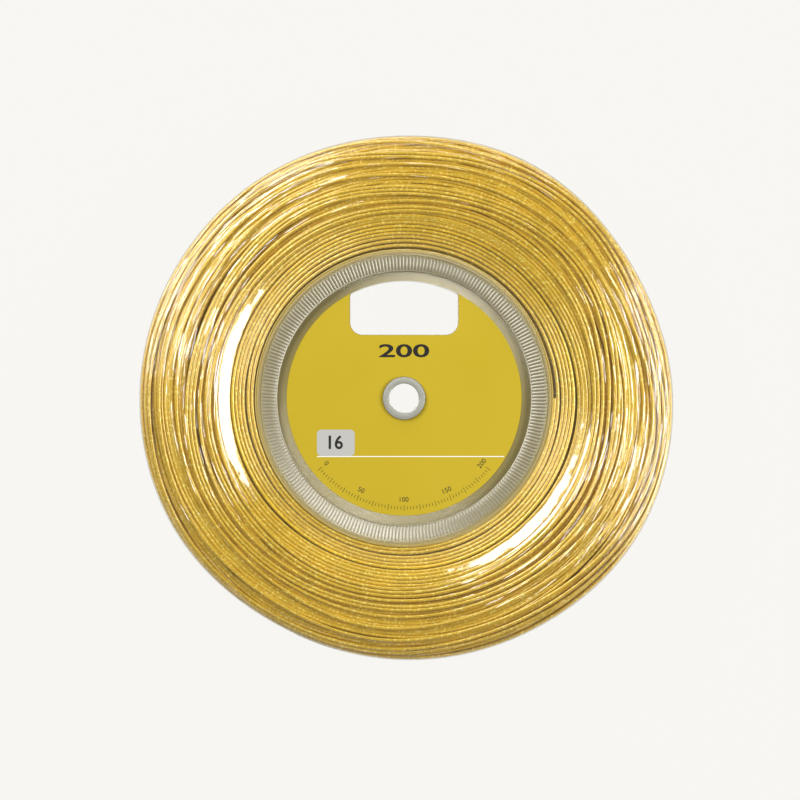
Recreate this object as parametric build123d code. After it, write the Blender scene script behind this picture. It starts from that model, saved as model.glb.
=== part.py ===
from build123d import *
import os
from math import cos, radians, sin

# String reel: a two-part moulded hub, the string wound on it, and a clear shrink film round the winding.
# Millimetres. The spindle axis is Z, the reel lies flat on Z = 0 and the window points to +Y.

# Hub
DRUM_R = 47.0  # outside of the drum that the first turns lie on
DRUM_WALL = 1.8
WEB_TOP = 6.0  # outer face of a web above the mid plane
WEB_THICK = 1.8
RING_INSET = 2.3  # from the drum in to the end of the web's plain ring, where the ribbed flange starts
RING_STEP = 0.8
RIB_WIDTH = 5.4
LIP_REACH = 5.2  # the flange stands out this far from the drum
LIP_TOP = 8.6  # top of the lip above the mid plane
LIP_THICK = 1.2
LIP_ROUND = 0.4
GROOVE_INSET = 0.4  # groove between the ribs and the lip's rounded edge
GROOVE_WIDTH = 0.8
GROOVE_DEPTH = 0.6

# Spindle bore and its two bushes
BORE_R = 5.1
BUSH_WALL = 1.1
BUSH_SEAT_CLEAR = 0.05
BUSH_COLLAR_R = 7.4
BUSH_COLLAR_THICK = 1.0
BORE_CHAMFER = 0.3
BOSS_WALL = 1.8

# Window through both webs
WINDOW_HALF_WIDTH = 18.9
WINDOW_DEPTH = 18.9  # from the label's edge in to the window's bottom
WINDOW_CORNER = 4.4
WINDOW_TOP_CORNER = 1.5
SKIRT_WALL = 1.4

# Pegs that join the two hub halves
PEG_COUNT = 6
PEG_CIRCLE_R = 30.0
PEG_R = 2.0
PEG_CLEAR = 0.08
PEG_LENGTH = 3.0  # above the mid plane
POST_WALL = 1.5
SOCKET_FLOOR = 0.4

# Labels
LABEL_MARGIN = 3.6  # plain ring left bare round the label
LABEL_THICK = 0.15
LABEL_CLEAR = 0.15  # to the window's edge and to the bush collar

# String and winding
STRING_D = 1.25
WINDING_R = 93.4
WINDING_HALF_HEIGHT = 12.4
SHELF_WIDTH = 8.3  # neat inner turns beside the lip
SHELF_RISE = 0.8
SHOULDER_WIDTH = 8.5  # from the shelf up to the flat top
RIM_ROUND = 9.0
WINDING_CLEAR = 0.1
ANCHOR_ANGLE = 30.0  # the string starts through a hole in the drum here
ANCHOR_HOLE_R = 0.9
ANCHOR_Z = 2.2  # above the mid plane
TAIL_LENGTH = 4.0  # from the drum's inner wall to the knot
KNOT_R = 1.3

# End tape on the outermost turns
TAPE_ANGLE = 250.0
TAPE_LENGTH = 16.0
TAPE_WIDTH = 7.6
TAPE_THICK = 0.15
TAPE_CLEAR = 0.05

# Shrink film
FILM_WALL = 0.3
FILM_CLEAR = 0.3
FILM_HEM = 0.3  # from the end of the ribs to the film's hem

RING_R = DRUM_R - RING_INSET
RIB_END_R = RING_R + RIB_WIDTH
GROOVE_START_R = RIB_END_R + GROOVE_INSET
LIP_R = DRUM_R + LIP_REACH
LABEL_R = RING_R - LABEL_MARGIN
WINDOW_TOP_R = LABEL_R  # the window's top edge is an arc about the spindle axis
WINDOW_BOTTOM = WINDOW_TOP_R - WINDOW_DEPTH
FILM_HEM_R = RIB_END_R + FILM_HEM
SHELF_R = LIP_R + SHELF_WIDTH
TOP_START_R = SHELF_R + SHOULDER_WIDTH
TOP_END_R = WINDING_R - RIM_ROUND
MID_Z = WINDING_HALF_HEIGHT + FILM_CLEAR + FILM_WALL
WEB_UNDER = WEB_TOP - WEB_THICK
CONE_BOTTOM = WEB_TOP + RING_STEP
LIP_UNDER = LIP_TOP - LIP_THICK
CHANNEL_HALF = LIP_UNDER - (LIP_R - DRUM_R) * (LIP_TOP - CONE_BOTTOM) / (RIB_END_R - RING_R)
SEAT_R = BORE_R + BUSH_WALL + BUSH_SEAT_CLEAR
BIG = 4 * WINDING_R


def turned(outline):
    """A solid of revolution about Z from an outline of (radius, height) points."""
    face = make_face(Plane.XZ * Polyline(*outline, close=True))
    return revolve(face, Axis.Z)


def window_outline(grow=0.0):
    """The window's sketch: straight sides, round bottom corners and a top edge that follows the label."""
    corner = WINDOW_CORNER + grow
    top_corner = WINDOW_TOP_CORNER + grow
    height = BIG - WINDOW_BOTTOM + grow
    slot = Pos(0, WINDOW_BOTTOM - grow + height / 2) * Rectangle(2 * (WINDOW_HALF_WIDTH + grow), height)
    low = slot.vertices().sort_by(Axis.Y)[:2]
    slot = fillet(low, corner)
    window = slot & Circle(WINDOW_TOP_R + grow)
    high = window.vertices().sort_by(Axis.Y)[-2:]
    return fillet(high, top_corner)


def peg_places():
    """The joining pegs stand on a half circle below the window."""
    step = 180 / (PEG_COUNT - 1)
    angles = [180 + step * i for i in range(PEG_COUNT)]
    return [(PEG_CIRCLE_R * cos(radians(a)), PEG_CIRCLE_R * sin(radians(a))) for a in angles]


def upright(radius, low, high):
    """A cylinder about Z from one height to another."""
    return Pos(0, 0, (low + high) / 2) * Cylinder(radius, high - low)


def hub_shell():
    """Web, spindle boss, drum wall, ribbed flange and lip of one half, above the mid plane."""
    boss_r = SEAT_R + BOSS_WALL
    drum_in = DRUM_R - DRUM_WALL
    outline = [
        (SEAT_R, 0),
        (SEAT_R, WEB_TOP),
        (RING_R, WEB_TOP),
        (RING_R, CONE_BOTTOM),
        (RIB_END_R, LIP_TOP),
        (GROOVE_START_R, LIP_TOP),
        (GROOVE_START_R, LIP_TOP - GROOVE_DEPTH),
        (GROOVE_START_R + GROOVE_WIDTH, LIP_TOP - GROOVE_DEPTH),
        (GROOVE_START_R + GROOVE_WIDTH, LIP_TOP),
        (LIP_R, LIP_TOP),
        (LIP_R, LIP_UNDER),
        (DRUM_R, CHANNEL_HALF),
        (DRUM_R, 0),
        (drum_in, 0),
        (drum_in, WEB_UNDER),
        (boss_r, WEB_UNDER),
        (boss_r, 0),
    ]
    shell = turned(outline)
    rim = [e for e in shell.edges().filter_by(GeomType.CIRCLE) if abs(e.radius - LIP_R) < 0.01]
    shell = fillet(rim, LIP_ROUND)
    skirt = extrude(window_outline(SKIRT_WALL), WEB_UNDER + WEB_THICK / 2)
    return shell + skirt - extrude(window_outline(), BIG, both=True)


def front_half():
    """Front hub half, above the mid plane, with the sockets and the string's anchor hole."""
    half = hub_shell()
    socket_r = PEG_R + PEG_CLEAR
    socket_top = min(PEG_LENGTH + SOCKET_FLOOR, WEB_UNDER)
    for x, y in peg_places():
        half += Pos(x, y, 0) * upright(socket_r + POST_WALL, 0, WEB_UNDER + WEB_THICK / 2)
    for x, y in peg_places():
        half -= Pos(x, y, 0) * upright(socket_r, -1, socket_top)
    hole = Pos(DRUM_R, 0, ANCHOR_Z) * Rot(0, 90, 0) * Cylinder(ANCHOR_HOLE_R, 4 * DRUM_WALL)
    return half - Rot(0, 0, ANCHOR_ANGLE) * hole


def rear_half():
    """Rear hub half, below the mid plane, with the pegs."""
    half = mirror(hub_shell(), about=Plane.XY)
    for x, y in peg_places():
        half += Pos(x, y, 0) * upright(PEG_R + PEG_CLEAR + POST_WALL, -WEB_UNDER - WEB_THICK / 2, 0)
        half += Pos(x, y, 0) * upright(PEG_R, -WEB_UNDER, PEG_LENGTH)
    return half


def bush():
    """Flanged bush of the spindle bore, pressed in from the front as far as the mid plane."""
    sleeve_r = BORE_R + BUSH_WALL
    collar_top = WEB_TOP + BUSH_COLLAR_THICK
    outline = [
        (BORE_R, 0),
        (BORE_R, collar_top - BORE_CHAMFER),
        (BORE_R + BORE_CHAMFER, collar_top),
        (BUSH_COLLAR_R - BORE_CHAMFER, collar_top),
        (BUSH_COLLAR_R, collar_top - BORE_CHAMFER),
        (BUSH_COLLAR_R, WEB_TOP),
        (sleeve_r, WEB_TOP),
        (sleeve_r, 0),
    ]
    return turned(outline)


def label():
    """Printed disc on a web, open at the window and round the bush collar."""
    sketch = Circle(LABEL_R) - Circle(BUSH_COLLAR_R + LABEL_CLEAR)
    sketch -= window_outline(LABEL_CLEAR)
    return Pos(0, 0, WEB_TOP) * extrude(sketch, LABEL_THICK)


def wrapped_outline():
    """Edges of the winding's outside above the mid plane, from the lip over the top to the rim."""
    shelf_top = LIP_TOP + SHELF_RISE
    run = TOP_START_R - SHELF_R
    drop = WINDING_HALF_HEIGHT - shelf_top
    shoulder_r = (run**2 + drop**2) / (2 * drop)
    lip = (LIP_R + WINDING_CLEAR, LIP_TOP)
    shelf = (SHELF_R, shelf_top)
    top_start = (TOP_START_R, WINDING_HALF_HEIGHT)
    top_end = (TOP_END_R, WINDING_HALF_HEIGHT)
    rim = (WINDING_R, WINDING_HALF_HEIGHT - RIM_ROUND)
    return [
        Line(lip, shelf),
        RadiusArc(shelf, top_start, shoulder_r),
        Line(top_start, top_end),
        RadiusArc(top_end, rim, RIM_ROUND),
        Line(rim, (WINDING_R, 0)),
    ]


def mirrored_face(upper, start, end):
    """The face between an open outline, closed from its end to its start, and its mirror image."""
    close = Polyline(end, *start)
    half = make_face(Curve() + upper + close.edges())
    return half + mirror(half, about=Plane.XZ)


def winding():
    """The wound string as one closed solid, with its first end through the drum wall to a knot."""
    inner_r = DRUM_R + WINDING_CLEAR
    under_drop = LIP_UNDER - WINDING_CLEAR
    start = [
        (inner_r, 0),
        (inner_r, CHANNEL_HALF - WINDING_CLEAR),
        (LIP_R + WINDING_CLEAR, under_drop),
        (LIP_R + WINDING_CLEAR, LIP_TOP),
    ]
    face = mirrored_face(wrapped_outline(), start, (WINDING_R, 0))
    coil = revolve(Plane.XZ * face, Axis.Z)
    knot_r = DRUM_R - DRUM_WALL - TAIL_LENGTH
    tail_length = inner_r + STRING_D - knot_r
    tail = Pos(knot_r + tail_length / 2, 0, ANCHOR_Z) * Rot(0, 90, 0) * Cylinder(STRING_D / 2, tail_length)
    knot = Pos(knot_r, 0, ANCHOR_Z) * Sphere(KNOT_R)
    return coil + Rot(0, 0, ANCHOR_ANGLE) * (tail + knot)


def film():
    """Shrink film round the winding, hemmed over both lips."""
    start = [(DRUM_R, 0), (DRUM_R, LIP_TOP), (LIP_R + WINDING_CLEAR, LIP_TOP)]
    core = mirrored_face(wrapped_outline(), start, (WINDING_R, 0))
    outside = offset(core, FILM_CLEAR + FILM_WALL, kind=Kind.INTERSECTION)
    inside = offset(core, FILM_CLEAR, kind=Kind.INTERSECTION)
    hub_side = Pos(FILM_HEM_R / 2, 0) * Rectangle(FILM_HEM_R, BIG)
    return revolve(Plane.XZ * (outside - inside - hub_side), Axis.Z)


def end_tape():
    """Strip of tape that holds the string's outer end on the rim of the winding."""
    inner = WINDING_R + TAPE_CLEAR
    band = upright(inner + TAPE_THICK, -TAPE_WIDTH / 2, TAPE_WIDTH / 2)
    band -= upright(inner, -TAPE_WIDTH, TAPE_WIDTH)
    patch = Pos(WINDING_R, 0, 0) * Box(WINDING_R, TAPE_LENGTH, 2 * TAPE_WIDTH)
    return Rot(0, 0, TAPE_ANGLE) * (band & patch)


def save(node, shape):
    """Lifts a shape from the mid plane to its place and writes it."""
    export_step(Pos(0, 0, MID_Z) * shape, f"parts/{node}.step")


os.makedirs("parts", exist_ok=True)
save("front_hub_half", front_half())
save("rear_hub_half", rear_half())
save("front_bore_bush", bush())
save("rear_bore_bush", mirror(bush(), about=Plane.XY))
save("front_label", label())
save("rear_label", mirror(label(), about=Plane.XY))
save("string_winding", winding())
save("wrap_film", film())
save("end_tape", end_tape())
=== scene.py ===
"""Looks of a racket string reel: string turns, shrink film, ribbed hub, bushes, labels and end tape."""

import math

import bpy
import numpy as np
from bpy.props import FloatProperty, FloatVectorProperty, IntProperty, PointerProperty, StringProperty
from mathutils import Matrix, Vector


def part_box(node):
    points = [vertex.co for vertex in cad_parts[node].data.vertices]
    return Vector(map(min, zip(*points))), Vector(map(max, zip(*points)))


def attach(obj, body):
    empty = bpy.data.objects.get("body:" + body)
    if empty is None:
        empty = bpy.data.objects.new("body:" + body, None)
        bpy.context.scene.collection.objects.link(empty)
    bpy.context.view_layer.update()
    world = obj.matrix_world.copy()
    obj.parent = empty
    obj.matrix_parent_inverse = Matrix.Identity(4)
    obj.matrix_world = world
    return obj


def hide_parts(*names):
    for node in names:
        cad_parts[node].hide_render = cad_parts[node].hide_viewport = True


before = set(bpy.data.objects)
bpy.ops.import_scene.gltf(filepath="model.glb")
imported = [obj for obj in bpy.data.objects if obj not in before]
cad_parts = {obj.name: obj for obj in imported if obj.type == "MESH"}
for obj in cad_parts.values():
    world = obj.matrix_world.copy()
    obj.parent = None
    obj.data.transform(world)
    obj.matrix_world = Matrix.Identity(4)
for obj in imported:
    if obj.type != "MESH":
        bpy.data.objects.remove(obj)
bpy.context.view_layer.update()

bl_info = {
    "name": "String reel",
    "version": (1, 0, 0),
    "blender": (4, 5, 0),
    "location": "View3D > Sidebar > Reel",
    "description": "Winds, wraps, prints and lights a reel of racket string",
    "category": "Object",
}

MM = 0.001
BODY = "root"
TURN = 2 * math.pi

# Sizes that come from the frame.
WINDING_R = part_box("string_winding")[1][0]
WINDING_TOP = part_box("string_winding")[1][2]
WINDING_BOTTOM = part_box("string_winding")[0][2]
MID_Z = (WINDING_TOP + WINDING_BOTTOM) / 2
HALF_HEIGHT = (WINDING_TOP - WINDING_BOTTOM) / 2
LIP_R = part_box("front_hub_half")[1][0]
LIP_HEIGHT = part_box("front_hub_half")[1][2] - MID_Z
LABEL_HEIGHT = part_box("front_label")[1][2] - MID_Z
WEB_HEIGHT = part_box("front_label")[0][2] - MID_Z
COLLAR_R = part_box("front_bore_bush")[1][0]

# How far the outline stands out from the frame's circle, every 30 degrees from +X.
OUTLINE = [x * MM for x in (0.6, -1.1, -0.1, -1.6, -1.5, -1.4, -0.9, -1.0, -2.6, -1.9, -0.6, 1.4)]

# Section lines from the hub to the rim, in millimetres from the winding's outer radius and from its top:
# the highest turns, the bed of turns under them, and the film from beside the lip up to the highest turns.
CROWN = [
    (-32.9, -3.1), (-30.6, -1.95), (-28.3, -0.9), (-24.8, -0.25), (-19.0, 0.0), (-12.0, -0.05),
    (-8.2, -0.35), (-5.6, -1.0), (-3.4, -2.0), (-1.4, -3.2), (-0.4, -5.3), (-0.1, -8.6), (0.0, -12.4),
]
BED = [
    (-40.9, -5.1), (-39.5, -5.1), (-37.0, -4.8), (-33.4, -4.0), (-31.0, -3.5), (-28.0, -3.0), (-20.0, -2.8),
    (-12.0, -2.8), (-7.5, -3.4), (-4.8, -5.0), (-3.2, -7.6), (-2.6, -10.0), (-2.5, -12.4),
]
FILM_SHELF = [
    (-40.6, -3.8), (-39.4, -3.95), (-37.0, -3.65), (-33.6, -3.0), (-32.2, -2.5), (-30.4, -1.62),
    (-28.6, -0.75), (-27.4, -0.3),
]

# How far a turn may sink below the highest one in its layer.
LIFT = 0.25 * MM

# Room for the hidden turns: how far inside the lip they start, and their distance from the rim and the top.
CORE_START = 5.2 * MM
CORE_RIM = 6.2 * MM
CORE_TOP = 5.4 * MM

# Part of a row in which the string steps out to the next one.
STEP_OUT = 0.05

# Edges that bend more than this are sharp.
SHARP = math.radians(50)

# Label prints: thickness of the ink, and middle of the number, the badge and the rule.
INK = 0.02 * MM
NUMBER_Y = 16.6 * MM
BADGE_X = -23.9 * MM
BADGE_Y = -15.6 * MM
RULE_Y = -20.4 * MM

# Scale of ticks round the foot of the label.
SCALE_START = 220
SCALE_SPAN = 100
SCALE_TICKS = 60
SCALE_MARKS = (0, 50, 100, 150, 200)


class StringSettings(bpy.types.PropertyGroup):
    diameter: FloatProperty(
        name="Diameter", description="Thickness of the string", default=1.25 * MM, unit="LENGTH", precision=5
    )
    length: FloatProperty(
        name="Length", description="Length of string on the reel", default=200.0, unit="LENGTH"
    )
    emboss_pitch: FloatProperty(
        name="Emboss pitch", description="Distance between embossed dots",
        default=1.75 * MM, unit="LENGTH", precision=5
    )
    twist: FloatProperty(
        name="Twist", description="Length over which the dots wander round",
        default=31 * MM, unit="LENGTH", precision=5
    )
    # Pale gold painted on the embossed dots as their glints, and on the pale grains.
    fleck: FloatVectorProperty(
        name="Fleck", description="Pale gold of the dots", default=(1.0, 0.82, 0.16), size=3, subtype="COLOR"
    )
    colour: FloatVectorProperty(
        name="Colour", description="Gold of the string",
        default=(0.74, 0.475, 0.014), size=3, subtype="COLOR"
    )
    seed: IntProperty(name="Seed", description="Order of the uneven turns", default=7)


class FilmSettings(bpy.types.PropertyGroup):
    thickness: FloatProperty(
        name="Thickness", description="Thickness of the shrink film",
        default=0.06 * MM, unit="LENGTH", precision=5
    )
    clearance: FloatProperty(
        name="Clearance", description="Gap between string and film",
        default=0.25 * MM, unit="LENGTH", precision=5
    )
    roughness: FloatProperty(name="Roughness", description="Blur of the film's gloss", default=0.06)


class HubSettings(bpy.types.PropertyGroup):
    ribs: IntProperty(name="Ribs", description="Fine radial ribs on each flange", default=252)
    rib_inner: FloatProperty(
        name="Rib start", description="Radius where the ribs start",
        default=44.8 * MM, unit="LENGTH", precision=5
    )
    rib_outer: FloatProperty(
        name="Rib end", description="Radius where the ribs end",
        default=50.1 * MM, unit="LENGTH", precision=5
    )
    rib_crest: FloatProperty(
        name="Rib crest", description="How far a rib stands up",
        default=0.22 * MM, unit="LENGTH", precision=5
    )
    rib_height: FloatProperty(
        name="Rib height", description="Height of the ribs' inner ends",
        default=7.5 * MM, unit="LENGTH", precision=5
    )
    rib_colour: FloatVectorProperty(
        name="Rib colour", description="Silvery grey of the ribs",
        default=(0.20, 0.163, 0.058), size=3, subtype="COLOR"
    )
    colour: FloatVectorProperty(
        name="Hub colour", description="Silvery grey of the hub",
        default=(0.245, 0.197, 0.06), size=3, subtype="COLOR"
    )
    lip_colour: FloatVectorProperty(
        name="Lip colour", description="Gold that shows through the thin lip",
        default=(0.46, 0.32, 0.035), size=3, subtype="COLOR"
    )
    bush_colour: FloatVectorProperty(
        name="Bush colour", description="Pale grey of the bushes",
        default=(0.34, 0.335, 0.29), size=3, subtype="COLOR"
    )
    rim_inner: FloatProperty(
        name="Rim start", description="Inner radius of a bush's rim",
        default=5.14 * MM, unit="LENGTH", precision=5
    )
    rim_height: FloatProperty(
        name="Rim height", description="Height of a bush's rim",
        default=7.32 * MM, unit="LENGTH", precision=5
    )


class LabelSettings(bpy.types.PropertyGroup):
    colour: FloatVectorProperty(
        name="Label colour", description="Golden yellow of the labels",
        default=(0.48, 0.35, 0.010), size=3, subtype="COLOR"
    )
    number: StringProperty(name="Number", description="Plain number above the bore", default="200")
    badge: StringProperty(name="Badge", description="Plain number in the badge", default="16")


class TapeSettings(bpy.types.PropertyGroup):
    angle: FloatProperty(
        name="Angle", description="Where the tape sticks, from +X",
        default=math.radians(250), subtype="ANGLE"
    )
    length: FloatProperty(
        name="Length", description="Length of the tape round the rim",
        default=16 * MM, unit="LENGTH", precision=5
    )
    width: FloatProperty(
        name="Width", description="Width of the tape", default=7.6 * MM, unit="LENGTH", precision=5
    )


class StageSettings(bpy.types.PropertyGroup):
    floor_colour: FloatVectorProperty(
        name="Floor colour", description="Pale colour of the floor",
        default=(0.93, 0.92, 0.885), size=3, subtype="COLOR"
    )
    fill: FloatProperty(name="Fill", description="Strength of the light from all round", default=0.22)
    key: FloatProperty(name="Key", description="Radiance of the two large softboxes", default=9.4)


# Mesh and node helpers.


def tree_node(tree, kind, **settings):
    """A new node of that kind with its settings."""
    node = tree.nodes.new(kind)
    for name, value in settings.items():
        setattr(node, name, value)
    return node


def feed(tree, socket, value):
    """Links another socket to this one, or sets its value."""
    if isinstance(value, bpy.types.NodeSocket):
        tree.links.new(value, socket)
    else:
        socket.default_value = value


def maths(tree, operation, *values):
    """Output of a Math node fed with sockets or numbers."""
    node = tree_node(tree, "ShaderNodeMath", operation=operation)
    for socket, value in zip(node.inputs, values):
        feed(tree, socket, value)
    return node.outputs[0]


def vector(tree, x=0.0, y=0.0, z=0.0):
    """A vector from sockets or numbers."""
    node = tree_node(tree, "ShaderNodeCombineXYZ")
    for socket, value in zip(node.inputs, (x, y, z)):
        feed(tree, socket, value)
    return node.outputs["Vector"]


def new_material(name):
    """A material, its tree and its Principled shader."""
    material = bpy.data.materials.new(name)
    material.use_nodes = True
    return material, material.node_tree, material.node_tree.nodes["Principled BSDF"]


def object_place(tree):
    """Place on the object, in its own coordinates."""
    return tree_node(tree, "ShaderNodeTexCoord").outputs["Object"]


def noise(tree, place, scale, detail=2.0, roughness=0.5):
    """Value of a noise texture at a place."""
    node = tree_node(tree, "ShaderNodeTexNoise")
    feed(tree, node.inputs["Vector"], place)
    node.inputs["Scale"].default_value = scale
    node.inputs["Detail"].default_value = detail
    node.inputs["Roughness"].default_value = roughness
    return node.outputs["Fac"]


def between(tree, value, low, high, low_out=0.0, high_out=1.0):
    """Maps a value from one range to another."""
    node = tree_node(tree, "ShaderNodeMapRange")
    names = ("Value", "From Min", "From Max", "To Min", "To Max")
    for name, item in zip(names, (value, low, high, low_out, high_out)):
        feed(tree, node.inputs[name], item)
    return node.outputs["Result"]


def blend_colours(tree, factor, first, second):
    """Colour between two colours."""
    node = tree_node(tree, "ShaderNodeMix", data_type="RGBA")
    feed(tree, node.inputs["Factor"], factor)
    feed(tree, node.inputs["A"], first)
    feed(tree, node.inputs["B"], second)
    return node.outputs["Result"]


def bump(tree, shader, height, distance, strength=1.0):
    """Bumps a shader's normal by a height."""
    node = tree_node(tree, "ShaderNodeBump")
    node.inputs["Strength"].default_value = strength
    node.inputs["Distance"].default_value = distance
    tree.links.new(height, node.inputs["Height"])
    tree.links.new(node.outputs["Normal"], shader.inputs["Normal"])


def polar(tree, place):
    """Radius and angle about the spindle axis."""
    split = tree_node(tree, "ShaderNodeSeparateXYZ")
    tree.links.new(place, split.inputs["Vector"])
    x, y = split.outputs["X"], split.outputs["Y"]
    square = maths(tree, "ADD", maths(tree, "MULTIPLY", x, x), maths(tree, "MULTIPLY", y, y))
    return maths(tree, "SQRT", square), maths(tree, "ARCTAN2", y, x)


def tint(colour, scale):
    """A colour made lighter or darker, with alpha."""
    return (*(min(1.0, c * scale) for c in colour), 1.0)


def geometry_tree(name, inputs):
    """A Geometry Nodes tree with those named inputs, its input and output nodes."""
    tree = bpy.data.node_groups.new(name, "GeometryNodeTree")
    tree.interface.new_socket("Geometry", in_out="INPUT", socket_type="NodeSocketGeometry")
    for title, kind in inputs:
        tree.interface.new_socket(title, in_out="INPUT", socket_type=kind)
    tree.interface.new_socket("Geometry", in_out="OUTPUT", socket_type="NodeSocketGeometry")
    return tree, tree_node(tree, "NodeGroupInput"), tree_node(tree, "NodeGroupOutput")


def close_tree(tree, group_in, group_out, geometry):
    """Ends a tree in Realize Instances and Set Material."""
    real = tree_node(tree, "GeometryNodeRealizeInstances")
    paint = tree_node(tree, "GeometryNodeSetMaterial")
    tree.links.new(geometry, real.inputs["Geometry"])
    tree.links.new(real.outputs["Geometry"], paint.inputs["Geometry"])
    tree.links.new(group_in.outputs["Material"], paint.inputs["Material"])
    tree.links.new(paint.outputs["Geometry"], group_out.inputs["Geometry"])


def grown(name, base, tree, values):
    """The plain mesh object that a tree makes of a base object, with the base removed."""
    sockets = {item.name: item.identifier for item in tree.interface.items_tree if item.in_out == "INPUT"}
    modifier = base.modifiers.new(name, "NODES")
    modifier.node_group = tree
    for title, value in values.items():
        modifier[sockets[title]] = value
    bpy.context.view_layer.update()
    mesh = bpy.data.meshes.new_from_object(base.evaluated_get(bpy.context.evaluated_depsgraph_get()))
    base.modifiers.remove(modifier)
    bpy.data.objects.remove(base)
    mesh.name = name
    return shown(name, mesh)


def shown(name, mesh):
    """A mesh as an object in the scene."""
    piece = bpy.data.objects.new(name, mesh)
    bpy.context.scene.collection.objects.link(piece)
    return piece


def empty_mesh(name):
    """A base object with no geometry, for trees that make their own."""
    return shown(name, bpy.data.meshes.new(name))


def paint(piece, material):
    """Gives a piece one material."""
    piece.data.materials.clear()
    piece.data.materials.append(material)


# Winding.


def through(a, b, c, d, t):
    """Smooth curve at a share t of the way from b to c, with a and d as their neighbours."""
    return (2 * b + (c - a) * t + (2 * a - 5 * b + 4 * c - d) * t**2 + (3 * b - a - 3 * c + d) * t**3) / 2


def smooth_line(points, count=400, steps=24):
    """Evenly spaced points on a smooth line through the given ones."""
    given = np.array(points, float)
    given = np.vstack([2 * given[0] - given[1], given, 2 * given[-1] - given[-2]])
    at = np.linspace(0, 1, steps, endpoint=False)[:, None]
    parts = [through(a, b, c, d, at) for a, b, c, d in zip(given, given[1:], given[2:], given[3:])]
    line = np.vstack([*parts, given[-2][None]])
    run = run_of(line)
    even = np.linspace(0, run[-1], count)
    return np.column_stack([np.interp(even, run, line[:, i]) for i in range(2)])


def run_of(line):
    """Distance along a line at each of its points."""
    return np.concatenate([[0.0], np.cumsum(np.linalg.norm(np.diff(line, axis=0), axis=1))])


def section(insets):
    """Half a section line as (radius, height above the mid plane), from insets in millimetres."""
    return [(WINDING_R + r * MM, HALF_HEIGHT + z * MM) for r, z in insets]


def whole(half):
    """A half section line and its mirror image below the mid plane."""
    return half + [(r, -z) for r, z in reversed(half[:-1])]


def direction(line):
    """Unit vectors along a line."""
    step = np.gradient(line, axis=0)
    return step / np.linalg.norm(step, axis=1)[:, None]


def inset(line, depth):
    """The line moved inwards by a depth at each point."""
    step = direction(line)
    inward = np.column_stack([step[:, 1], -step[:, 0]])
    return line + inward * np.reshape(depth, (-1, 1))


def smoothstep(x):
    """Rises smoothly from 0 to 1 as x does."""
    x = np.clip(x, 0, 1)
    return x * x * (3 - 2 * x)


def outline(angle):
    """How far the outline stands out at an angle, smooth through the OUTLINE values."""
    values = np.array(OUTLINE)
    place = np.mod(angle / TURN, 1) * len(values)
    first = np.floor(place).astype(int)
    t = place - first
    a, b, c, d = (values[(first + k) % len(values)] for k in (-1, 0, 1, 2))
    return through(a, b, c, d, t)


def waves(angle, rng, rows, terms=5):
    """Smooth random values round the reel, one row for each gap."""
    total = np.zeros((rows, len(angle)))
    for k in range(1, terms + 1):
        size = rng.normal(0, 1, (rows, 1)) / k**0.5
        total += size * np.cos(k * angle + rng.uniform(0, TURN, (rows, 1)))
    return total


def placed(radius, height, angle):
    """Points round the reel, with the uneven outline growing towards the rim."""
    radius, height, angle = np.broadcast_arrays(radius, height, angle)
    share = np.clip((radius - LIP_R) / (WINDING_R - LIP_R), 0, 1) ** 1.5
    radius = radius + share * outline(angle)
    return np.column_stack([radius * np.cos(angle), radius * np.sin(angle), MID_Z + height])


def uneven(at, rng, reach):
    """Smooth random values from 0 to 1 along the string, that change over a given number of turns."""
    knots = rng.uniform(0, 1, int(at[-1] / reach) + 3)
    place = at / reach
    first = np.floor(place).astype(int)
    share = smoothstep(place - first)
    return knots[first] * (1 - share) + knots[first + 1] * share


def layer(base, depth, turns, gaps, neat, pitch, segments, rng, start, variation):
    """One layer of turns along a section line, with lens-shaped gaps that open and close."""
    at = np.linspace(0, turns, turns * segments + 1)
    angle = start + TURN * at
    line = inset(base, depth)
    low = inset(base, depth + LIFT)
    run = run_of(line)
    spare = run[-1] - pitch * turns
    widths = np.exp(variation * waves(angle, rng, gaps, 4))
    widths *= spare / widths.sum(axis=0)
    distance = pitch * at
    opening, wander = 0.7, 0.6
    for place, width in zip(np.sort(rng.uniform(neat, turns - 1, gaps)), widths):
        distance = distance + width * smoothstep((at - place) / opening + 0.5)
    distance = np.clip(distance, 0, run[-1])
    lift = uneven(at, rng, wander)
    radius, height = (
        lift * np.interp(distance, run, line[:, i]) + (1 - lift) * np.interp(distance, run, low[:, i])
        for i in range(2)
    )
    return placed(radius, height, angle), angle[-1] % TURN


def core_turns(target, diameter, segments):
    """Level-wound turns from the drum out to the visible layers, as many as the length needs."""
    inner = LIP_R - CORE_START + diameter
    outer = WINDING_R - CORE_RIM
    half = HALF_HEIGHT - CORE_TOP
    spacing = 1.25 * diameter
    per_row = int(2 * half / spacing)
    rows = max(1, round(target / (math.pi * (inner + outer)) / per_row))
    turns = rows * per_row
    for _ in range(3):
        at = np.linspace(0, rows, int(turns * segments) + 1)
        row = np.minimum(np.floor(at), rows - 1)
        share = at - row
        radius = inner + (outer - inner) * (row + smoothstep((share - 1 + STEP_OUT) / STEP_OUT)) / rows
        bounds = [inner, LIP_R, LIP_R + 4 * MM, outer - 6 * MM, outer]
        room = np.interp(radius, bounds, [0.6, 0.8, 1, 1, 0.6])
        height = half * room * (2 * share - 1) * np.where(row % 2 == 0, 1, -1)
        points = placed(radius, height, TURN * turns * at / rows)
        turns *= target / length_of(points)
    return points


def length_of(points):
    """Length of a line of points."""
    return float(np.linalg.norm(np.diff(points, axis=0), axis=1).sum())


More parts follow.
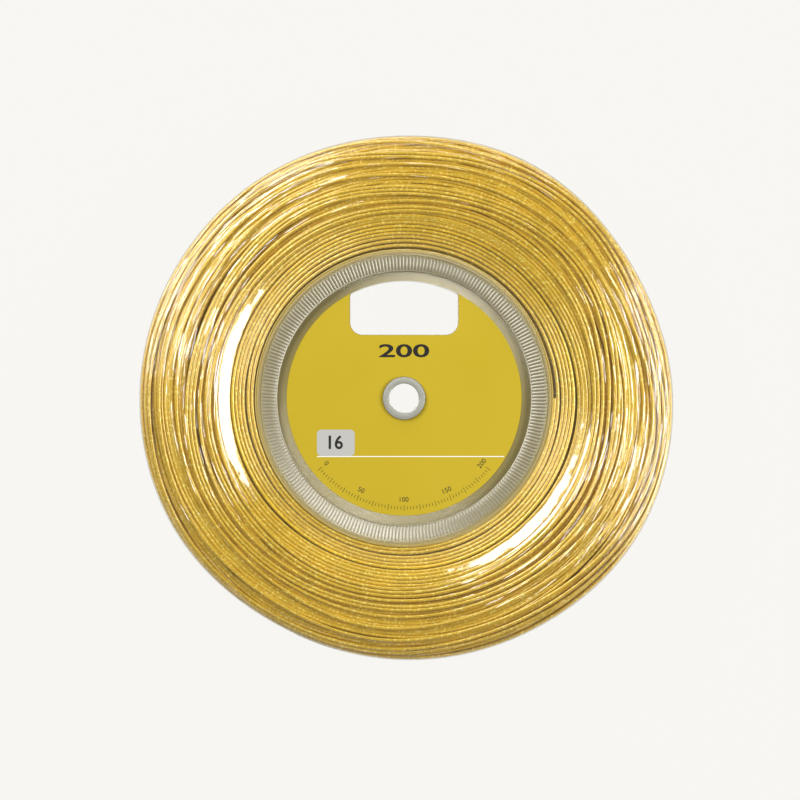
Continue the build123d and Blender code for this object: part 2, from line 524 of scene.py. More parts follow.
def tube_tree():
    """Turns a path into a closed tube, with the distance along it kept as an attribute."""
    inputs = [("Diameter", "NodeSocketFloat"), ("Sides", "NodeSocketInt")]
    inputs.append(("Material", "NodeSocketMaterial"))
    tree, group_in, group_out = geometry_tree("string_tube", inputs)
    value = group_in.outputs
    spline = tree_node(tree, "GeometryNodeSplineParameter")
    keep = tree_node(tree, "GeometryNodeStoreNamedAttribute", data_type="FLOAT", domain="POINT")
    keep.inputs["Name"].default_value = "along"
    circle = tree_node(tree, "GeometryNodeCurvePrimitiveCircle", mode="RADIUS")
    ring = tree_node(tree, "GeometryNodeStoreNamedAttribute", data_type="FLOAT", domain="POINT")
    ring.inputs["Name"].default_value = "around"
    count = tree_node(tree, "GeometryNodeInputIndex").outputs["Index"]
    share = maths(tree, "DIVIDE", count, value["Sides"])
    swing = maths(tree, "PINGPONG", maths(tree, "MULTIPLY", share, 2.0), 1.0)
    tree.links.new(maths(tree, "MULTIPLY", swing, 0.5), ring.inputs["Value"])
    tree.links.new(circle.outputs["Curve"], ring.inputs["Geometry"])
    tube = tree_node(tree, "GeometryNodeCurveToMesh")
    tube.inputs["Fill Caps"].default_value = True
    smooth = tree_node(tree, "GeometryNodeSetShadeSmooth")
    tree.links.new(value["Geometry"], keep.inputs["Geometry"])
    tree.links.new(spline.outputs["Length"], keep.inputs["Value"])
    tree.links.new(maths(tree, "MULTIPLY", value["Diameter"], 0.5), circle.inputs["Radius"])
    tree.links.new(value["Sides"], circle.inputs["Resolution"])
    tree.links.new(keep.outputs["Geometry"], tube.inputs["Curve"])
    tree.links.new(ring.outputs["Geometry"], tube.inputs["Profile Curve"])
    tree.links.new(tube.outputs["Mesh"], smooth.inputs["Geometry"])
    close_tree(tree, group_in, group_out, smooth.outputs["Geometry"])
    return tree


def path_object(name, points):
    """A curve object along the points."""
    data = bpy.data.curves.new(name, "CURVE")
    data.dimensions = "3D"
    spline = data.splines.new("POLY")
    spline.points.add(len(points) - 1)
    spline.points.foreach_set("co", np.column_stack([points, np.ones(len(points))]).ravel())
    path = bpy.data.objects.new(name, data)
    bpy.context.scene.collection.objects.link(path)
    return path


def string_material(settings):
    """Pearly gold string with rows of embossed dots along it, painted pale as glints, and pale grains in it.
    """
    material, tree, shader = new_material("gold_string")
    around = tree_node(tree, "ShaderNodeAttribute", attribute_name="around").outputs["Fac"]
    place = object_place(tree)
    along = tree_node(tree, "ShaderNodeAttribute", attribute_name="along").outputs["Fac"]
    tone = noise(tree, place, 160.0)
    colour = blend_colours(tree, tone, tint(settings.colour, 0.82), tint(settings.colour, 1.18))
    wave = maths(tree, "SINE", maths(tree, "MULTIPLY", along, TURN / settings.emboss_pitch))
    twist = maths(tree, "MULTIPLY", along, TURN / settings.twist)
    ring = maths(tree, "SINE", maths(tree, "ADD", maths(tree, "MULTIPLY", around, 4 * TURN), twist))
    spots = maths(tree, "MULTIPLY", maths(tree, "MAXIMUM", wave, 0.0), maths(tree, "MAXIMUM", ring, 0.0))
    dots = maths(tree, "POWER", spots, 2.0)
    patchy = between(tree, noise(tree, place, 300.0, 1.0), 0.4, 0.55)
    dots = maths(tree, "MULTIPLY", dots, patchy)
    grains = between(tree, noise(tree, place, 1100.0, 0.0), 0.62, 0.7)
    # Painted highlight: the dots get a pale gold where their glints fall, besides their bump; the grains are
    # pale specks in the string.
    pale = maths(tree, "MAXIMUM", maths(tree, "MULTIPLY", dots, 0.7), maths(tree, "MULTIPLY", grains, 0.8))
    fleck = blend_colours(tree, pale, colour, tint(settings.fleck, 1.0))
    feed(tree, shader.inputs["Base Color"], fleck)
    shader.inputs["Metallic"].default_value = 0.25
    shader.inputs["Coat Weight"].default_value = 1.0
    shader.inputs["Coat IOR"].default_value = 1.8
    shader.inputs["Coat Roughness"].default_value = 0.15
    feed(tree, shader.inputs["Roughness"], between(tree, tone, 0.3, 0.7, 0.3, 0.4))
    bump(tree, shader, dots, 0.06 * MM)
    return material


class WindString(bpy.types.Operator):
    """Winds the whole length of string on the drum: hidden level turns, then four visible layers"""

    bl_idname = "reel.wind_string"
    bl_label = "Wind string"

    def execute(self, context):
        settings = context.scene.reel_string
        rng = np.random.default_rng(settings.seed)
        d = settings.diameter
        pitch = 1.01 * d
        segments = 144
        crown = smooth_line(whole(section(CROWN)))
        bed = smooth_line(whole(section(BED)))
        front = crown[: len(crown) // 2]
        rise = smoothstep((np.linspace(0, 1, len(crown)) - 0.35) / 0.3) * d
        # Layers from the inside out: name, section line, depth, share of the line that the turns take, gaps,
        # neat turns before the first gap, and how unlike the gaps are.
        plans = [
            ("string_turns_under", bed, 1.7 * d, 0.98, 6, 60, 0.8),
            ("string_turns_bed", bed[::-1], 0.5 * d, 0.9, 20, 8, 0.7),
            ("string_turns_upper", crown, 1.6 * d - rise, 0.74, 28, 1, 0.75),
            ("string_turns_outer", front, 0.5 * d, 0.54, 13, 1, 0.75),
        ]
        material = string_material(settings)
        tree = tube_tree()
        start, paths = 0.0, []
        for name, base, depth, cover, gaps, neat, variation in plans:
            turns = int(cover * run_of(inset(base, depth))[-1] / pitch)
            neat = min(neat, turns / 2)
            points, start = layer(base, depth, turns, gaps, neat, pitch, segments, rng, start, variation)
            paths.append((name, points))
        rest = settings.length - sum(length_of(points) for _, points in paths)
        paths.append(("string_turns_core", core_turns(rest, d, segments // 3)))
        for name, points in paths:
            sides = 6 if name == "string_turns_core" else 8
            values = {"Diameter": d, "Sides": sides, "Material": material}
            piece = grown(name, path_object(name + "_path", points), tree, values)
            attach(piece, BODY)
            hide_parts("string_winding")
        return {"FINISHED"}


def film_material(settings):
    """Clear film: gloss that grows with the angle over a see-through sheet, blurred at hem and rim."""
    material, tree, shader = new_material("shrink_film")
    place = object_place(tree)
    radius, angle = polar(tree, place)
    facing = tree_node(tree, "ShaderNodeLayerWeight").outputs["Facing"]
    shine = between(tree, maths(tree, "POWER", facing, 7.0), 0.0, 1.0, 0.065, 0.8)
    past_lip = between(tree, radius, LIP_R, LIP_R + 1 * MM)
    hem = maths(tree, "MULTIPLY", past_lip, between(tree, radius, LIP_R + 5 * MM, LIP_R + 8 * MM, 1.0, 0.0))
    rim = between(tree, radius, WINDING_R - 9 * MM, WINDING_R - 5 * MM)
    blur = maths(tree, "MAXIMUM", hem, maths(tree, "MULTIPLY", rim, 0.4))
    gloss = tree_node(tree, "ShaderNodeBsdfGlossy")
    feed(tree, gloss.inputs["Roughness"], between(tree, blur, 0.0, 1.0, settings.roughness, 0.35))
    slack = between(tree, radius, LIP_R + 13 * MM, LIP_R + 16 * MM, 0.0, 7.0)
    strands = maths(tree, "MULTIPLY", film_streaks(tree, place, radius, angle), slack)
    bump(tree, gloss, maths(tree, "ADD", noise(tree, place, 90.0), strands), 0.2 * MM)
    clear = tree_node(tree, "ShaderNodeBsdfTransparent")
    mix = tree_node(tree, "ShaderNodeMixShader")
    tree.links.new(shine, mix.inputs[0])
    tree.links.new(clear.outputs["BSDF"], mix.inputs[1])
    tree.links.new(gloss.outputs["BSDF"], mix.inputs[2])
    tree.links.new(mix.outputs["Shader"], tree.nodes["Material Output"].inputs["Surface"])
    tree.nodes.remove(shader)
    return material


def film_streaks(tree, place, radius, angle):
    """Noise in streaks that run round the reel, where the film clings to the turns."""
    reach = 6 * MM
    split = tree_node(tree, "ShaderNodeSeparateXYZ")
    tree.links.new(place, split.inputs["Vector"])
    east, north = (maths(tree, "MULTIPLY", maths(tree, part, angle), reach) for part in ("COSINE", "SINE"))
    streaks = tree_node(tree, "ShaderNodeTexNoise", noise_dimensions="4D")
    streaks.inputs["Scale"].default_value = 700.0
    streaks.inputs["Detail"].default_value = 1.0
    tree.links.new(vector(tree, radius, split.outputs["Z"], east), streaks.inputs["Vector"])
    tree.links.new(north, streaks.inputs["W"])
    return streaks.outputs["Fac"]


def film_section(clearance):
    """Section line of the film: over the lip, along the inner turns, over the crown and round the rim."""
    crown = section(CROWN)
    over_lip = [(LIP_R - 1.6 * MM, LIP_HEIGHT + 0.15 * MM), (LIP_R - 0.6 * MM, LIP_HEIGHT + 0.25 * MM)]
    half = over_lip + section(FILM_SHELF) + crown[3:]
    return inset(smooth_line(whole(half), 161), -clearance)


def film_grid(line, angles, rng, swell=0.12 * MM, folds=6):
    """Points of one face of the film, with a slight unevenness."""
    across = np.linspace(0, 1, len(line))
    wave = waves(angles, rng, folds, 7)
    bands = np.stack([np.sin(math.pi * (k + 1) * across) for k in range(folds)], axis=1)
    lift = swell * bands @ wave / folds
    step = direction(line)
    radius = line[:, :1] - step[:, 1:] * lift
    height = line[:, 1:] + step[:, :1] * lift
    rows = [placed(r, z, angles) for r, z in zip(radius, height)]
    return np.array(rows)


def shell_mesh(name, outer, inner, round_axis=True):
    """A closed shell between two grids of points, which run round the axis or end at two sides."""
    rows, columns = outer.shape[:2]
    back = rows * columns
    index = np.arange(back).reshape(rows, columns)
    if round_axis:
        index = np.hstack([index, index[:, :1]])
    corners = (index[:-1, :-1], index[1:, :-1], index[1:, 1:], index[:-1, 1:])
    front = np.stack(corners, axis=-1).reshape(-1, 4).tolist()
    edges = {(face[k - 1], face[k]) for face in front for k in range(4)}
    faces = front + [[back + i for i in reversed(face)] for face in front]
    faces += [(b, a, back + a, back + b) for a, b in sorted(edges) if (b, a) not in edges]
    mesh = bpy.data.meshes.new(name)
    mesh.from_pydata(np.vstack([outer.reshape(-1, 3), inner.reshape(-1, 3)]).tolist(), [], faces)
    mesh.shade_smooth()
    return mesh


class WrapFilm(bpy.types.Operator):
    """Wraps the winding in clear shrink film, hemmed over both lips of the hub"""

    bl_idname = "reel.wrap_film"
    bl_label = "Wrap film"

    def execute(self, context):
        settings = context.scene.reel_film
        angles = np.linspace(0, TURN, 240, endpoint=False)
        line = film_section(settings.clearance)
        seed = 3
        outer = film_grid(inset(line, -settings.thickness), angles, np.random.default_rng(seed))
        inner = film_grid(line, angles, np.random.default_rng(seed))
        film = shown("film", shell_mesh("film", outer, inner))
        film.data.set_sharp_from_angle(angle=SHARP)
        paint(film, film_material(settings))
        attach(film, BODY)
        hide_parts("wrap_film")
        return {"FINISHED"}


def hub_material(name, settings, colour, coat_ior, marked):
    """Silvery moulded plastic with gold rings on the lip, and very fine radial marks where it's marked."""
    ring_pitch, mark_count = 0.7 * MM, 1440.0
    material, tree, shader = new_material(name)
    place = object_place(tree)
    radius, angle = polar(tree, place)
    tone = noise(tree, place, 60.0, 4.0)
    plain = blend_colours(tree, tone, tint(colour, 0.9), tint(colour, 1.1))
    lip = between(tree, radius, LIP_R - 2.0 * MM, LIP_R - 1.1 * MM)
    rings = between(tree, maths(tree, "SINE", maths(tree, "MULTIPLY", radius, TURN / ring_pitch)), -1.0, 1.0)
    gold = blend_colours(tree, rings, tint(settings.lip_colour, 0.75), tint(settings.lip_colour, 1.2))
    feed(tree, shader.inputs["Base Color"], blend_colours(tree, lip, plain, gold))
    shader.inputs["Metallic"].default_value = 0.1
    shader.inputs["Coat Weight"].default_value = 1.0
    shader.inputs["Coat IOR"].default_value = coat_ior
    shader.inputs["Coat Roughness"].default_value = 0.25 if marked else 0.52
    feed(tree, shader.inputs["Roughness"], between(tree, tone, 0.3, 0.7, 0.28, 0.38))
    if marked:
        marks = maths(tree, "SINE", maths(tree, "MULTIPLY", angle, mark_count))
        bump(tree, shader, marks, 0.016 * MM)
        tree.links.new(shader.inputs["Normal"].links[0].from_socket, shader.inputs["Coat Normal"])
    return material


def bush_material(settings):
    """Smooth cool grey plastic."""
    material, tree, shader = new_material("bush_plastic")
    place = object_place(tree)
    tone = noise(tree, place, 500.0, 3.0)
    colour = blend_colours(tree, tone, tint(settings.bush_colour, 0.92), tint(settings.bush_colour, 1.08))
    feed(tree, shader.inputs["Base Color"], colour)
    feed(tree, shader.inputs["Roughness"], between(tree, tone, 0.3, 0.7, 0.2, 0.3))
    shader.inputs["Coat Weight"].default_value = 0.6
    shader.inputs["Coat Roughness"].default_value = 0.1
    bump(tree, shader, tone, 0.01 * MM)
    return material


def ring_mesh(name, rows, floor, columns):
    """A closed ring about the axis, from rows of (radius, height, lift) and a height under each row."""
    angles = np.arange(columns) * TURN / columns
    top = [placed_flat(r, z, angles) for r, z, _ in rows]
    under = [placed_flat(r, z, angles) for (r, _, _), z in zip(rows, floor)]
    mesh = shell_mesh(name, np.array(top), np.array(under))
    mesh.set_sharp_from_angle(angle=SHARP)
    lifts = np.zeros(len(mesh.vertices), np.float32)
    lifts[: len(rows) * columns] = np.repeat([lift for _, _, lift in rows], columns)
    mesh.attributes.new("lift", "FLOAT", "POINT").data.foreach_set("value", lifts)
    return mesh


def placed_flat(radius, height, angles):
    """A circle of points about the axis."""
    return np.column_stack([radius * np.cos(angles), radius * np.sin(angles), np.full(len(angles), height)])


def rib_tree():
    """Raises a ring into fine radial ribs, as high at each point as its lift says."""
    inputs = [("Ribs", "NodeSocketInt"), ("Material", "NodeSocketMaterial")]
    tree, group_in, group_out = geometry_tree("flange_ribs", inputs)
    _, angle = polar(tree, tree_node(tree, "GeometryNodeInputPosition").outputs["Position"])
    turns = maths(tree, "MULTIPLY", maths(tree, "DIVIDE", angle, TURN), group_in.outputs["Ribs"])
    across = maths(tree, "SUBTRACT", maths(tree, "MULTIPLY", maths(tree, "FRACT", turns), 2.0), 1.0)
    crown = maths(tree, "SUBTRACT", 1.0, maths(tree, "MULTIPLY", across, across))
    lift = tree_node(tree, "GeometryNodeInputNamedAttribute", data_type="FLOAT")
    lift.inputs["Name"].default_value = "lift"
    rise = vector(tree, z=maths(tree, "MULTIPLY", crown, lift.outputs["Attribute"]))
    moved = tree_node(tree, "GeometryNodeSetPosition")
    tree.links.new(group_in.outputs["Geometry"], moved.inputs["Geometry"])
    tree.links.new(rise, moved.inputs["Offset"])
    close_tree(tree, group_in, group_out, moved.outputs["Geometry"])
    return tree


def rib_rows(settings):
    """Section of the ribbed ring as (radius, height, lift): a ridge, the ribs, then beads on the lip."""
    foot, last = settings.rib_inner, settings.rib_outer
    crest, height = settings.rib_crest, settings.rib_height
    return [
        (foot - 0.45 * MM, WEB_HEIGHT - 0.05 * MM, 0.0),
        (foot - 0.40 * MM, height - 0.02 * MM, 0.0),
        (foot - 0.22 * MM, height + 0.06 * MM, 0.06 * MM),
        (foot - 0.02 * MM, height - 0.03 * MM, 0.02 * MM),
        (foot + 0.25 * MM, height, crest),
        (foot + 2.2 * MM, height + 0.31 * MM, crest),
        (last - 1.2 * MM, height + 0.66 * MM, crest),
        (last - 0.2 * MM, height + 0.83 * MM, crest),
        (last, LIP_HEIGHT - 0.15 * MM, 0.3 * crest),
        (last + 0.35 * MM, LIP_HEIGHT - 0.05 * MM, 0.0),
        (last + 0.8 * MM, LIP_HEIGHT, 0.14 * MM),
        (last + 1.25 * MM, LIP_HEIGHT - 0.05 * MM, 0.0),
    ]


def rim_rows(settings):
    """Section of a bush collar's chamfered rim as (radius, height, lift)."""
    inner, outer, height = settings.rim_inner, COLLAR_R, settings.rim_height
    return [
        (inner, height - 0.28 * MM, 0.0),
        (inner + 0.42 * MM, height, 0.0),
        (outer - 0.50 * MM, height, 0.0),
        (outer - 0.02 * MM, height - 0.38 * MM, 0.0),
    ]


class FinishHub(bpy.types.Operator):
    """Gives the hub and its bushes their plastic, and stands the fine ribs on both flanges"""

    bl_idname = "reel.finish_hub"
    bl_label = "Finish hub"

    def execute(self, context):
        settings = context.scene.reel_hub
        plastic = hub_material("hub_plastic", settings, settings.colour, 1.62, True)
        for node in ("front_hub_half", "rear_hub_half"):
            paint(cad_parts[node], plastic)
        bush = bush_material(settings)
        for node in ("front_bore_bush", "rear_bore_bush"):
            paint(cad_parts[node], bush)
        ribbed = hub_material("rib_plastic", settings, settings.rib_colour, 2.4, False)
        tree = rib_tree()
        values = {"Ribs": settings.ribs, "Material": ribbed}
        sunk, flange_slope, points_per_rib, rim_columns = 0.1 * MM, 1 / 3, 6, 96
        for side, turn in (("front", 0.0), ("rear", math.pi)):
            rows = rib_rows(settings)
            floor = [WEB_HEIGHT - sunk + (r - rows[0][0]) * flange_slope for r, _, _ in rows]
            title = side + "_hub_ribs_base"
            base = shown(title, ring_mesh(title, rows, floor, points_per_rib * settings.ribs))
            ribs = grown(side + "_hub_ribs", base, tree, values)
            ribs.data.set_sharp_from_angle(angle=SHARP)
            rows = rim_rows(settings)
            floor = [rows[0][1] - sunk] * len(rows)
            title = side + "_bore_rim"
            rim = shown(title, ring_mesh(title, rows, floor, rim_columns))
            paint(rim, bush)
            for piece in (ribs, rim):
                piece.data.transform(Matrix.Translation((0, 0, MID_Z)) @ Matrix.Rotation(turn, 4, "Y"))
                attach(piece, BODY)
        return {"FINISHED"}


def label_material(settings):
    """Satin printed film in golden yellow with faint creases."""
    material, tree, shader = new_material("label_film")
    place = object_place(tree)
    broad = noise(tree, place, 25.0, 3.0)
    colour = blend_colours(tree, broad, tint(settings.colour, 0.95), tint(settings.colour, 1.05))
    feed(tree, shader.inputs["Base Color"], colour)
    feed(tree, shader.inputs["Roughness"], between(tree, broad, 0.3, 0.7, 0.42, 0.5))
    bump(tree, shader, noise(tree, place, 70.0, 3.0), 0.03 * MM)
    return material


def ink_material(name, colour, roughness=0.45):
    """A printed ink."""
    material, tree, shader = new_material(name)
    place = object_place(tree)
    grain = noise(tree, place, 2500.0, 2.0)
    feed(tree, shader.inputs["Base Color"], blend_colours(tree, grain, tint(colour, 0.9), tint(colour, 1.1)))
    shader.inputs["Roughness"].default_value = roughness
    return material


def slab(name, outline_points, thickness):
    """A thin flat plate with that outline, in the XY plane with its underside at zero."""
    count = len(outline_points)
    vertices = [(x, y, 0.0) for x, y in outline_points] + [(x, y, thickness) for x, y in outline_points]
    faces = [tuple(reversed(range(count))), tuple(range(count, 2 * count))]
    faces += [(i, (i + 1) % count, count + (i + 1) % count, count + i) for i in range(count)]
    mesh = bpy.data.meshes.new(name)
    mesh.from_pydata(vertices, [], faces)
    return shown(name, mesh)


def rounded(low, high, radius, steps=6):
    """Outline of a rounded rectangle, anticlockwise."""
    corners = [(high[0], low[1], -90), (high[0], high[1], 0), (low[0], high[1], 90), (low[0], low[1], 180)]
    points = []
    for x, y, first in corners:
        cx = x - math.copysign(radius, x - (low[0] + high[0]) / 2)
        cy = y - math.copysign(radius, y - (low[1] + high[1]) / 2)
        for k in range(steps + 1):
            a = math.radians(first + 90 * k / steps)
            points.append((cx + radius * math.cos(a), cy + radius * math.sin(a)))
    return points


def numerals(name, text, height, thickness, wide=1.0, bold=0.0):
    """Plain numerals as a closed flat mesh, centred on the origin."""
    capital_share = 0.7
    data = bpy.data.curves.new(name + "_curve", "FONT")
    data.body = text
    data.size = height / capital_share
    data.extrude = thickness / 2
    data.offset = bold
    data.resolution_u = 4
    holder = bpy.data.objects.new(name + "_curve", data)
    bpy.context.scene.collection.objects.link(holder)
    bpy.context.view_layer.update()
    mesh = bpy.data.meshes.new_from_object(holder.evaluated_get(bpy.context.evaluated_depsgraph_get()))
    bpy.data.objects.remove(holder)
    points = np.array([v.co for v in mesh.vertices])
    middle = (points.min(axis=0) + points.max(axis=0)) / 2
    centred = Matrix.Translation(Vector((-middle[0], -middle[1], thickness / 2)))
    mesh.transform(Matrix.Diagonal((wide, 1, 1, 1)) @ centred)
    return shown(name, mesh)


def tick_tree():
    """A row of fine ticks on an arc, every fifth one longer."""
    names = ["Radius", "First angle", "Step angle", "Length", "Width", "Thickness"]
    inputs = [("Count", "NodeSocketInt"), *((n, "NodeSocketFloat") for n in names)]
    inputs.append(("Material", "NodeSocketMaterial"))
    tree, group_in, group_out = geometry_tree("label_ticks", inputs)
    value = group_in.outputs
    tick = tree_node(tree, "GeometryNodeMeshCube")
    tree.links.new(vector(tree, value["Length"], value["Width"], value["Thickness"]), tick.inputs["Size"])
    points = tree_node(tree, "GeometryNodePoints")
    tree.links.new(value["Count"], points.inputs["Count"])
    index = tree_node(tree, "GeometryNodeInputIndex").outputs["Index"]
    angle = maths(tree, "ADD", value["First angle"], maths(tree, "MULTIPLY", index, value["Step angle"]))
    x = maths(tree, "MULTIPLY", maths(tree, "COSINE", angle), value["Radius"])
    y = maths(tree, "MULTIPLY", maths(tree, "SINE", angle), value["Radius"])
    place = vector(tree, x, y, maths(tree, "MULTIPLY", value["Thickness"], 0.5))
    tree.links.new(place, points.inputs["Position"])
    fifth = maths(tree, "COMPARE", maths(tree, "MODULO", index, 5.0), 0.0, 0.5)
    longer = maths(tree, "ADD", maths(tree, "MULTIPLY", fifth, 0.8), 1.0)
    copies = tree_node(tree, "GeometryNodeInstanceOnPoints")
    tree.links.new(points.outputs["Points"], copies.inputs["Points"])
    tree.links.new(tick.outputs["Mesh"], copies.inputs["Instance"])
    tree.links.new(vector(tree, z=angle), copies.inputs["Rotation"])
    tree.links.new(vector(tree, longer, 1.0, 1.0), copies.inputs["Scale"])
    close_tree(tree, group_in, group_out, copies.outputs["Instances"])
    return tree


def label_prints(side, settings, dark, white, silver):
    """The number, the badge with its number, and the rule."""
    bold = 0.12 * MM
    badge_corner = (6.6 * MM, 4.6 * MM)
    rule_low, rule_high = (-30.5 * MM, -0.16 * MM), (35.0 * MM, 0.16 * MM)
    number = numerals(side + "_number", settings.number, 4.4 * MM, INK, 1.9, bold)
    badge_outline = rounded([-x for x in badge_corner], badge_corner, 1.6 * MM)
    badge = slab(side + "_badge", badge_outline, INK)
    badge_number = numerals(side + "_badge_number", settings.badge, 4.6 * MM, INK, 0.95, bold)
    rule = slab(side + "_rule", rounded(rule_low, rule_high, 0.1 * MM), INK)
    prints = [
        (number, dark, (0.0, NUMBER_Y, 0.0)),
        (badge, silver, (BADGE_X, BADGE_Y, 0.0)),
        (badge_number, dark, (BADGE_X, BADGE_Y + 0.2 * MM, INK)),
        (rule, white, (0.0, RULE_Y, 0.0)),
    ]
    for piece, material, (x, y, z) in prints:
        piece.data.transform(Matrix.Translation((x, y, LABEL_HEIGHT + z)))
        paint(piece, material)
    return [piece for piece, _, _ in prints]


def label_scale(side, tree, dark):
    """The row of ticks and the plain numbers along it."""
    values = {
        "Count": SCALE_TICKS + 1,
        "Radius": 38.4 * MM,
        "First angle": math.radians(SCALE_START),
        "Step angle": math.radians(SCALE_SPAN / SCALE_TICKS),
        "Length": 1.1 * MM,
        "Width": 0.16 * MM,
        "Thickness": INK,
        "Material": dark,
    }
    ticks = grown(side + "_ticks", empty_mesh(side + "_ticks_base"), tree, values)
    ticks.data.transform(Matrix.Translation((0, 0, LABEL_HEIGHT)))
    marks = [numerals(f"{side}_scale_{i}", str(n), 1.7 * MM, INK) for i, n in enumerate(SCALE_MARKS)]
    step = SCALE_SPAN / (len(SCALE_MARKS) - 1)
    for i, mark in enumerate(marks):
        turn = Matrix.Rotation(math.radians(step * i - SCALE_SPAN / 2), 4, "Z")
        mark.data.transform(turn @ Matrix.Translation((0, -35.4 * MM, LABEL_HEIGHT)))
        paint(mark, dark)
    return [ticks, *marks]


class PrintLabels(bpy.types.Operator):
    """Gives both labels their film and plain prints: numerals, a badge, a rule and a row of ticks"""

    bl_idname = "reel.print_labels"
    bl_label = "Print labels"

    def execute(self, context):
        settings = context.scene.reel_label
        film = label_material(settings)
        for node in ("front_label", "rear_label"):
            paint(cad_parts[node], film)
        dark = ink_material("dark_ink", (0.012, 0.011, 0.01))
        white = ink_material("white_ink", (0.80, 0.80, 0.76))
        silver = ink_material("silver_ink", (0.45, 0.45, 0.42), 0.3)
        tree = tick_tree()
        for side, turn in (("front", 0.0), ("rear", math.pi)):
            pieces = label_prints(side, settings, dark, white, silver) + label_scale(side, tree, dark)
            for piece in pieces:
                piece.data.transform(Matrix.Translation((0, 0, MID_Z)) @ Matrix.Rotation(turn, 4, "Y"))
                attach(piece, BODY)
        return {"FINISHED"}


def tape_material():
    """Matte cream tape with a faint crepe."""
    material, tree, shader = new_material("cream_tape")
    place = object_place(tree)
    crepe = noise(tree, place, 900.0, 4.0, 0.7)
    colour = blend_colours(tree, crepe, (0.70, 0.64, 0.48, 1), (0.84, 0.79, 0.64, 1))
    feed(tree, shader.inputs["Base Color"], colour)
    shader.inputs["Roughness"].default_value = 0.7
    bump(tree, shader, crepe, 0.05 * MM)
    return material


class StickTape(bpy.types.Operator):
    """Sticks the strip of tape over the outermost turns, where it holds the string's end"""

    bl_idname = "reel.stick_tape"
    bl_label = "Stick end tape"

    def execute(self, context):
        settings = context.scene.reel_tape
        half_angle = settings.length / 2 / WINDING_R
        angles = settings.angle + np.linspace(-half_angle, half_angle, 25)
        heights = np.linspace(settings.width / 2, -settings.width / 2, 33)
        gap, thickness, relief = 0.04 * MM, 0.12 * MM, 0.06 * MM
        strands = relief * np.cos(TURN * heights / (1.02 * context.scene.reel_string.diameter))
        under, over = (
            np.array([placed(WINDING_R + out + lift, z, angles) for z, lift in zip(heights, strands)])
            for out in (gap, gap + thickness)
        )
        strip = shown("end_tape_strip", shell_mesh("end_tape_strip", over, under, round_axis=False))
        paint(strip, tape_material())
        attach(strip, BODY)
        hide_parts("end_tape")
        return {"FINISHED"}


def softbox(name, azimuth, elevation, distance, size, radiance):
    """A rectangular area light that faces the reel."""
    data = bpy.data.lights.new(name, "AREA")
    data.shape = "RECTANGLE"
    data.size, data.size_y = size
    data.energy = radiance * math.pi * size[0] * size[1]
    light = bpy.data.objects.new(name, data)
    bpy.context.scene.collection.objects.link(light)
    a, e = math.radians(azimuth), math.radians(elevation)
    toward = Vector((math.cos(a) * math.cos(e), math.sin(a) * math.cos(e), math.sin(e)))
    light.location = Vector((0, 0, MID_Z)) + distance * toward
    light.rotation_euler = toward.to_track_quat("Z", "Y").to_euler()
    return light


def floor_material(settings):
    """Pale floor that glows softly, so that the reel's shadow stays faint."""
    material, tree, shader = new_material("pale_floor")
    place = object_place(tree)
    tone = noise(tree, place, 3.0)
    dim, bright = (tint(settings.floor_colour, share) for share in (0.009, 0.011))
    feed(tree, shader.inputs["Base Color"], blend_colours(tree, tone, dim, bright))
    shader.inputs["Roughness"].default_value = 0.9
    shader.inputs["Specular IOR Level"].default_value = 0.0
    shader.inputs["Emission Color"].default_value = tint(settings.floor_colour, 1.0)
    shader.inputs["Emission Strength"].default_value = 0.992
    return material


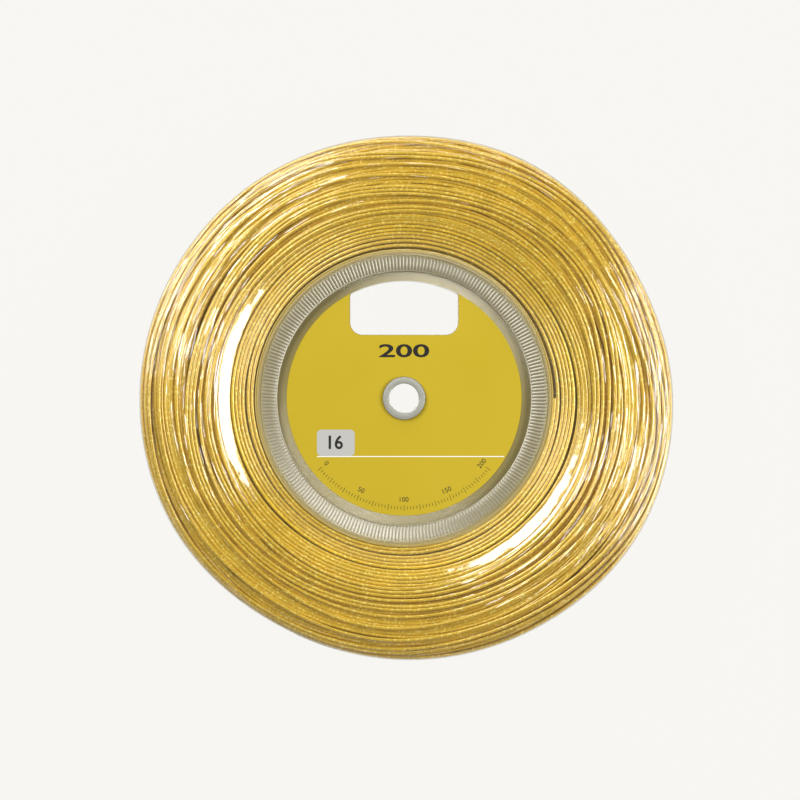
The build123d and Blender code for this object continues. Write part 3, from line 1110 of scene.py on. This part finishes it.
class SetStage(bpy.types.Operator):
    """Lays the pale floor, and sets the softboxes, the fill light and the camera"""

    bl_idname = "reel.set_stage"
    bl_label = "Set stage"

    def execute(self, context):
        settings = context.scene.reel_stage
        scene = context.scene
        half, thickness, gap = 3.0, 0.01, 0.0001
        floor = slab("floor", [(-half, -half), (half, -half), (half, half), (-half, half)], thickness)
        floor.data.transform(Matrix.Translation((0, 0, -thickness - gap)))
        paint(floor, floor_material(settings))
        world = bpy.data.worlds.new("pale_room")
        world.use_nodes = True
        background = world.node_tree.nodes["Background"]
        background.inputs["Color"].default_value = tint(settings.floor_colour, 1.0)
        background.inputs["Strength"].default_value = settings.fill
        scene.world = world
        softbox("softbox_right", -2, 36, 1.0, (1.0, 0.36), settings.key)
        softbox("softbox_upper_left", 140, 36, 1.0, (1.05, 0.36), settings.key)
        softbox("softbox_top", 85, 13, 1.0, (1.2, 0.24), 0.35 * settings.key)
        camera_data = bpy.data.cameras.new("camera")
        camera = bpy.data.objects.new("camera", camera_data)
        scene.collection.objects.link(camera)
        view_width, distance = 279.8 * MM, 1.6
        aside, down = -1.44 * MM, -0.63 * MM
        camera_data.sensor_width = 36.0
        camera_data.lens = camera_data.sensor_width * distance / view_width
        camera.location = (aside, down, MID_Z + WEB_HEIGHT + distance)
        scene.camera = camera
        scene.view_settings.view_transform = "Standard"
        return {"FINISHED"}


OPERATORS = (WindString, WrapFilm, FinishHub, PrintLabels, StickTape, SetStage)
SETTINGS = {
    "reel_string": StringSettings,
    "reel_film": FilmSettings,
    "reel_hub": HubSettings,
    "reel_label": LabelSettings,
    "reel_tape": TapeSettings,
    "reel_stage": StageSettings,
}


class ReelPanel(bpy.types.Panel):
    """Lists the reel's settings and the steps that build it"""

    bl_idname = "VIEW3D_PT_reel"
    bl_label = "String reel"
    bl_space_type = "VIEW_3D"
    bl_region_type = "UI"
    bl_category = "Reel"

    def draw(self, context):
        for name in SETTINGS:
            box = self.layout.box()
            group = getattr(context.scene, name)
            for title in group.__annotations__:
                box.prop(group, title)
        for operator in OPERATORS:
            self.layout.operator(operator.bl_idname)


CLASSES = (*SETTINGS.values(), *OPERATORS, ReelPanel)


def register():
    for item in CLASSES:
        bpy.utils.register_class(item)
    for name, group in SETTINGS.items():
        setattr(bpy.types.Scene, name, PointerProperty(type=group))


def unregister():
    for name in SETTINGS:
        delattr(bpy.types.Scene, name)
    for item in reversed(CLASSES):
        bpy.utils.unregister_class(item)


def main():
    register()
    bpy.ops.reel.set_stage()
    bpy.ops.reel.wind_string()
    bpy.ops.reel.wrap_film()
    bpy.ops.reel.finish_hub()
    bpy.ops.reel.print_labels()
    bpy.ops.reel.stick_tape()


if __name__ == "__main__":
    main()
